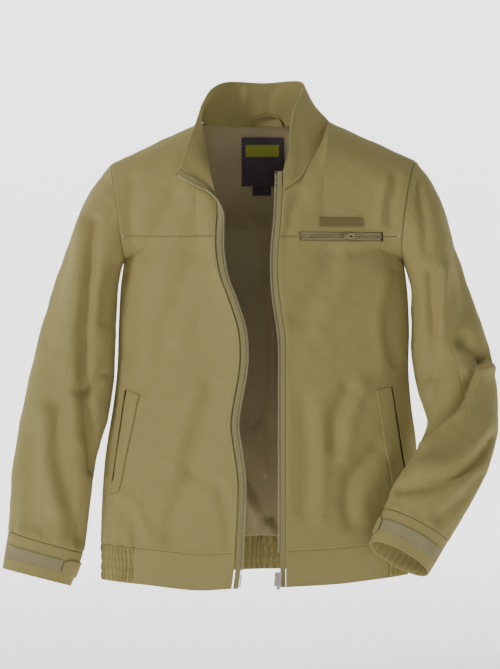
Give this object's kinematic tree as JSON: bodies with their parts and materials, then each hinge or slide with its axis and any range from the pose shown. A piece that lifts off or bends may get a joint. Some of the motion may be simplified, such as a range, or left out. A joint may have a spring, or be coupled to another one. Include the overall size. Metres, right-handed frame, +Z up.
{
  "type": "zip-front jacket",
  "caption": "Casual stand-collar jacket with an open front zip, chest and hand pockets, a gathered waistband and cuffs closed by hook-and-loop tabs.",
  "frame": {"origin": "middle of the back neck seam", "axes": "+Z up along the body, -Y out of the front, +X to the wearer's left"},
  "size_m": [0.7459, 0.1997, 0.7698],
  "materials": {
    "shell_cloth": "satin",
    "lining_cloth": "satin",
    "loop_tape": "matte",
    "zip_tape": "matte",
    "zip_teeth": "satin",
    "zip_metal": "satin",
    "dark_metal": "satin",
    "patch_cloth": "matte",
    "label_cloth": "satin"
  },
  "bodies": {
    "jacket": {"right_yoke": "shell_cloth", "right_front": "shell_cloth", "right_waistband": "shell_cloth", "right_side_elastic": "shell_cloth", "right_facing": "shell_cloth", "right_pocket_welt": "shell_cloth", "right_front_lining": "lining_cloth", "right_pocket_bag": "lining_cloth", "right_zip_tape": "zip_tape", "right_zip_teeth": "zip_teeth", "right_top_stop": "zip_metal", "left_yoke": "shell_cloth", "left_front": "shell_cloth", "left_waistband": "shell_cloth", "left_side_elastic": "shell_cloth", "left_facing": "shell_cloth", "left_pocket_welt": "shell_cloth", "left_front_lining": "lining_cloth", "left_pocket_bag": "lining_cloth", "left_zip_tape": "zip_tape", "left_zip_teeth": "zip_teeth", "left_top_stop": "zip_metal", "back_panel": "shell_cloth", "back_lining": "lining_cloth", "back_waistband": "shell_cloth", "collar_outer": "shell_cloth", "collar_inner": "shell_cloth", "insertion_pin": "zip_metal", "retainer_box": "zip_metal", "chest_zip_upper_tape": "zip_tape", "chest_zip_lower_tape": "zip_tape", "chest_zip_upper_teeth": "zip_teeth", "chest_zip_lower_teeth": "zip_teeth", "chest_zip_end_stop": "zip_metal", "chest_pocket_bag": "lining_cloth", "chest_patch": "patch_cloth", "neck_label": "label_cloth"},
    "zip_slider": {"zip_slider": "zip_metal"},
    "zip_pull": {"zip_pull": "zip_metal"},
    "chest_slider": {"chest_zip_slider": "dark_metal"},
    "chest_pull": {"chest_zip_pull": "zip_teeth"},
    "right_sleeve": {"right_upper_sleeve": "shell_cloth", "right_under_sleeve": "shell_cloth", "right_sleeve_lining": "lining_cloth", "right_cuff": "shell_cloth", "right_cuff_loop_strip": "loop_tape"},
    "left_sleeve": {"left_upper_sleeve": "shell_cloth", "left_under_sleeve": "shell_cloth", "left_sleeve_lining": "lining_cloth", "left_cuff": "shell_cloth", "left_cuff_loop_strip": "loop_tape"},
    "right_tab": {"right_cuff_tab": "shell_cloth"},
    "left_tab": {"left_cuff_tab": "shell_cloth"},
    "hanger_loop": {"hanger_loop": "shell_cloth"},
    "size_label": {"size_label": "label_cloth"}
  },
  "joints": [
    {"name": "zip_slide", "type": "slide", "parent": "jacket", "child": "zip_slider", "axis": [0, 0, 1], "range_m": [0, 0.33]},
    {"name": "zip_pull_hinge", "type": "hinge", "parent": "zip_slider", "child": "zip_pull", "pos_m": [0.0211, -0.12585, -0.68015], "axis": [-1, 0, 0], "range_deg": [0, 165]},
    {"name": "chest_zip_slide", "type": "slide", "parent": "jacket", "child": "chest_slider", "axis": [0.9779, 0.2089, 0], "range_m": [-0.042, 0.05]},
    {"name": "chest_pull_hinge", "type": "hinge", "parent": "chest_slider", "child": "chest_pull", "pos_m": [0.12056, -0.10598, -0.172], "axis": [0, 0, -1], "range_deg": [0, 165]},
    {"name": "right_shoulder", "type": "hinge", "parent": "jacket", "child": "right_sleeve", "pos_m": [-0.2325, -0.05, -0.06], "axis": [0, 1, 0], "range_deg": [0, 40]},
    {"name": "left_shoulder", "type": "hinge", "parent": "jacket", "child": "left_sleeve", "pos_m": [0.2315, -0.05, -0.055], "axis": [0, -1, 0], "range_deg": [0, 40]},
    {"name": "right_tab_peel", "type": "hinge", "parent": "right_sleeve", "child": "right_tab", "pos_m": [-0.28033, -0.07408, -0.67469], "axis": [0.3669, 0.0735, 0.9274], "range_deg": [0, 80]},
    {"name": "left_tab_peel", "type": "hinge", "parent": "left_sleeve", "child": "left_tab", "pos_m": [0.16652, -0.14524, -0.60293], "axis": [-0.384, -0.031, -0.9228], "range_deg": [0, 80]},
    {"name": "hanger_loop_flip", "type": "hinge", "parent": "jacket", "child": "hanger_loop", "pos_m": [0.005, -0.0052, -0.004], "axis": [1, 0, 0], "range_deg": [0, 120]},
    {"name": "size_label_flip", "type": "hinge", "parent": "jacket", "child": "size_label", "pos_m": [-0.003, 0.0183, -0.0925], "axis": [-1, 0, 0], "range_deg": [0, 45]}
  ]
}
